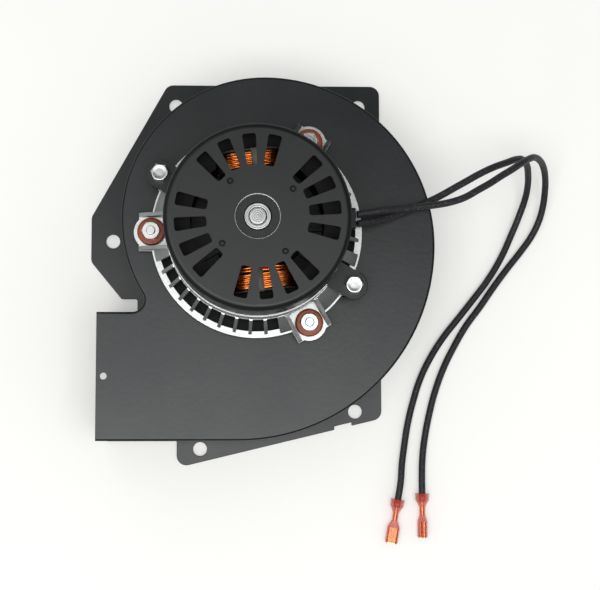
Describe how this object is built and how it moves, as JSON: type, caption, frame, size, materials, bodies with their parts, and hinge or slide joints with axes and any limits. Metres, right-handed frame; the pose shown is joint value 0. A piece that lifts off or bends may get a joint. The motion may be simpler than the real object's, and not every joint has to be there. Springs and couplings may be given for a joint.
{
  "type": "furnace draft inducer",
  "caption": "Furnace draft inducer: sheet metal scroll blower on a mounting plate, with a vented motor on rubber grommets and two leads with tab connectors.",
  "frame": {"origin": "on the shaft's axis, at the underside of the mounting plate, in the middle of the inlet", "axes": "+Z along the shaft from the plate to the motor, +X away from the outlet, +Y up as the picture shows it"},
  "size_m": [0.2381, 0.2399, 0.1133],
  "materials": {
    "black_powder_coat": "satin black powder coat on steel",
    "shell_paint": "satin black enamel on drawn steel",
    "cast_aluminium": "bright die cast",
    "zinc_steel": "bright zinc plate",
    "galvanised_steel": "galvanised",
    "bearing_steel": "ground",
    "lamination_steel": "varnished laminations",
    "black_oxide_steel": "black oxide",
    "copper_wire": "enamelled copper wire",
    "terminal_brass": "bright brass",
    "red_silicone": "moulded silicone",
    "seal_rubber": "matt rubber",
    "bushing_rubber": "matt rubber",
    "lead_insulation": "extruded insulation",
    "terminal_nylon": "translucent red nylon",
    "bobbin_nylon": "moulded nylon",
    "cage_nylon": "moulded nylon",
    "fan_plastic": "moulded plastic"
  },
  "bodies": {
    "housing": {"mounting_plate": "black_powder_coat", "scroll_wall": "black_powder_coat", "motor_side_plate": "black_powder_coat", "mount_studs": "zinc_steel", "isolation_grommets": "red_silicone", "grommet_sleeves": "zinc_steel", "mount_nuts": "zinc_steel", "motor_bracket": "cast_aluminium", "motor_shell": "shell_paint", "shell_screws": "zinc_steel", "stator_core": "lamination_steel", "coil_bobbins": "bobbin_nylon", "field_coils": "copper_wire", "shading_rings": "copper_wire", "rear_bearing_outer_race": "bearing_steel", "front_bearing_outer_race": "bearing_steel", "rear_bearing_seals": "seal_rubber", "front_bearing_seals": "seal_rubber", "lead_bushing": "bushing_rubber", "outer_lead": "lead_insulation", "inner_lead": "lead_insulation", "outer_terminal_contact": "terminal_brass", "outer_terminal_sleeve": "terminal_nylon", "inner_terminal_contact": "terminal_brass", "inner_terminal_sleeve": "terminal_nylon"},
    "rotor": {"motor_shaft": "bearing_steel", "rotor_core": "lamination_steel", "rotor_end_rings": "cast_aluminium", "cooling_fan": "fan_plastic", "wheel_disc": "galvanised_steel", "wheel_blades": "galvanised_steel", "wheel_ring": "galvanised_steel", "wheel_hub": "zinc_steel", "wheel_set_screw": "black_oxide_steel", "rear_bearing_inner_race": "bearing_steel", "front_bearing_inner_race": "bearing_steel"},
    "rear_cage": {"rear_bearing_cage": "cage_nylon", "rear_bearing_balls": "bearing_steel"},
    "front_cage": {"front_bearing_cage": "cage_nylon", "front_bearing_balls": "bearing_steel"}
  },
  "joints": [
    {"name": "rotor_spin", "type": "hinge", "parent": "housing", "child": "rotor", "pos_m": [0, 0, 0.05], "axis": [0, 0, -1], "continuous": true},
    {"name": "rear_cage_spin", "type": "hinge", "parent": "housing", "child": "rear_cage", "pos_m": [0, 0, 0.1083], "axis": [0, 0, -1], "continuous": true},
    {"name": "front_cage_spin", "type": "hinge", "parent": "housing", "child": "front_cage", "pos_m": [0, 0, 0.0594], "axis": [0, 0, -1], "continuous": true}
  ],
  "couplings": [
    {"joint": "rear_cage_spin", "follows": "rotor_spin", "ratio": 0.3717},
    {"joint": "front_cage_spin", "follows": "rotor_spin", "ratio": 0.3717}
  ]
}
